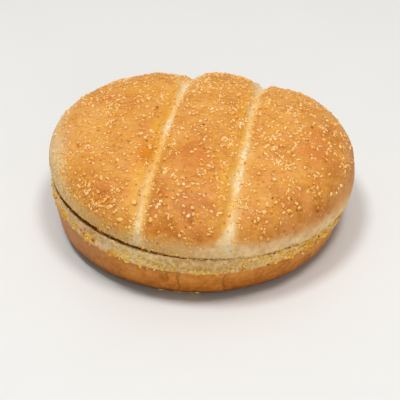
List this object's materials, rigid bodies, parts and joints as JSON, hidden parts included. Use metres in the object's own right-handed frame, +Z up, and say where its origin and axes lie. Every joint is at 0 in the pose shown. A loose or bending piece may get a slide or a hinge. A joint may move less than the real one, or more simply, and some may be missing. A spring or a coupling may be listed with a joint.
{
  "type": "scored round sandwich bun",
  "caption": "Round baked sandwich bun with soft lobes between straight score lines, sliced level into a top half and a heel, dusted with coarse meal.",
  "frame": {"origin": "middle of the heel's flat foot, on the surface that the bun rests on", "axes": "+Z up, +Y along the score lines towards the back, +X to the right across the lobes"},
  "size_m": [0.1187, 0.1181, 0.0459],
  "materials": {
    "top_crust": "golden brown baked crust, soft sheen, paler down the rolled side and in the score lines",
    "heel_crust": "brown pan-baked wall, pale unbaked band above the lip, matt"
  },
  "bodies": {
    "root": {"bun_base": "heel_crust", "bun_top": "top_crust"}
  },
  "joints": []
}
